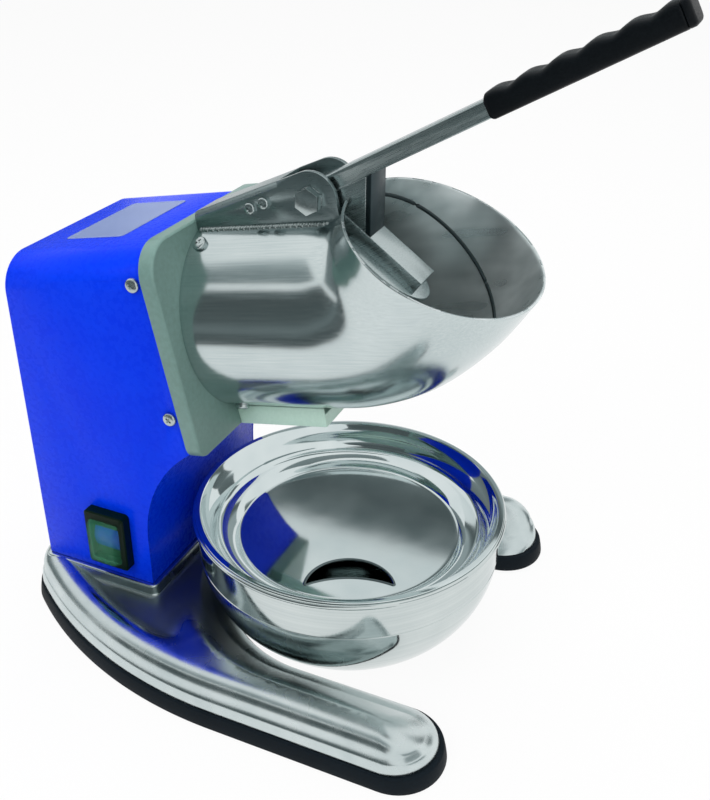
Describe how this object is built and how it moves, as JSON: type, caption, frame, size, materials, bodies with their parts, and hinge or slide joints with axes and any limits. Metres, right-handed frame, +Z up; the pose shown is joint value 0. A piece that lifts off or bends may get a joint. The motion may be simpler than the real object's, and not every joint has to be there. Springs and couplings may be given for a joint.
{
  "type": "ice shaver with hand lever",
  "caption": "Electric ice shaver: horseshoe base, motor housing, blade disc in a tilted tube with a scoop mouth, hand lever pusher, bowl with drain tray.",
  "frame": {"origin": "on the resting surface, under the axis of the bowl", "axes": "+Z up; +X to the front, where the scoop mouth opens and the lever points; -Y is the side with the switch"},
  "size_m": [0.3718, 0.268, 0.4025],
  "materials": {
    "blue_paint": "glossy stove enamel",
    "green_grey_paint": "semi-gloss enamel",
    "pale_green_paint": "semi-gloss enamel",
    "polished_steel": "polished stainless steel",
    "polished_casting": "buffed cast aluminium",
    "satin_steel": "satin stainless steel",
    "plain_steel": "plain steel",
    "black_rubber": "matt rubber",
    "grip_plastic": "satin moulded vinyl",
    "black_plastic": "satin moulded nylon",
    "rocker_plastic": "gloss translucent polycarbonate",
    "clear_cover": "clear flexible cover",
    "label_foil": "satin foil",
    "copper": "enamelled copper",
    "cast_alloy": "as cast",
    "capacitor_can": "plain can",
    "ceramic": "moulded melamine"
  },
  "bodies": {
    "frame": {"base_casting": "polished_casting", "base_rubber_strip": "black_rubber", "base_bottom_plate": "satin_steel", "bottom_plate_screws": "plain_steel", "housing_shell": "blue_paint", "housing_cove_panel": "blue_paint", "housing_back_panel": "blue_paint", "back_panel_screws": "plain_steel", "housing_floor": "plain_steel", "housing_bolts": "plain_steel", "cord_gland": "black_plastic", "terminal_block": "ceramic", "label_plate": "label_foil", "front_plate": "green_grey_paint", "side_screws": "satin_steel", "hopper_tube": "polished_steel", "hopper_mouth": "polished_steel", "hopper_screws": "satin_steel", "lever_bracket": "polished_steel", "bracket_weld": "plain_steel", "discharge_chute": "pale_green_paint", "pivot_bolt": "satin_steel", "pivot_washers": "plain_steel", "pivot_nut": "satin_steel", "safety_switch_body": "black_plastic", "safety_switch_screws": "satin_steel", "switch_bezel": "black_plastic", "switch_cover": "clear_cover", "motor_front_bell": "cast_alloy", "motor_rear_bell": "cast_alloy", "motor_stator": "plain_steel", "motor_windings": "copper", "motor_bolts": "plain_steel", "front_bearing": "plain_steel", "rear_bearing": "plain_steel", "shaft_seal": "black_rubber", "run_capacitor": "capacitor_can", "capacitor_clamp": "plain_steel"},
    "lever": {"pivot_bush": "black_plastic", "lever_arm": "polished_steel", "lever_grip": "grip_plastic", "grip_end_cap": "grip_plastic", "pusher_gusset": "satin_steel", "pusher_strut": "satin_steel", "pusher_channel": "satin_steel", "pusher_plate": "satin_steel"},
    "spindle": {"motor_rotor": "plain_steel", "motor_shaft": "satin_steel", "cooling_fan": "black_plastic", "blade_disc": "cast_alloy", "ice_blades": "satin_steel", "blade_screws": "plain_steel", "spindle_nut": "satin_steel"},
    "rocker": {"switch_rocker": "rocker_plastic"},
    "plunger": {"safety_switch_plunger": "rocker_plastic"},
    "bowl": {"bowl": "polished_steel"},
    "tray": {"bowl_tray": "polished_steel"}
  },
  "joints": [
    {"name": "lever_swing", "type": "hinge", "parent": "frame", "child": "lever", "pos_m": [-0.01563, -0.005, 0.29056], "axis": [0, -1, 0], "range_deg": [-44, 45]},
    {"name": "spindle_spin", "type": "hinge", "parent": "frame", "child": "spindle", "pos_m": [-0.076, 0, 0.208], "axis": [0.9803, 0, 0.1977], "continuous": true},
    {"name": "rocker_press", "type": "hinge", "parent": "frame", "child": "rocker", "pos_m": [-0.1375, -0.0579, 0.062], "axis": [1, 0, 0], "range_deg": [-12, 0]},
    {"name": "plunger_press", "type": "slide", "parent": "frame", "child": "plunger", "axis": [-0.898, 0, -0.4399], "range_m": [0, 0.001], "stiffness_N_per_m": 800, "springref_m": -0.001},
    {"name": "bowl_pull", "type": "slide", "parent": "frame", "child": "bowl", "axis": [1, 0, 0], "range_m": [0, 0.25]},
    {"name": "tray_lift", "type": "slide", "parent": "bowl", "child": "tray", "axis": [0, 0, 1], "range_m": [0, 0.021]}
  ]
}
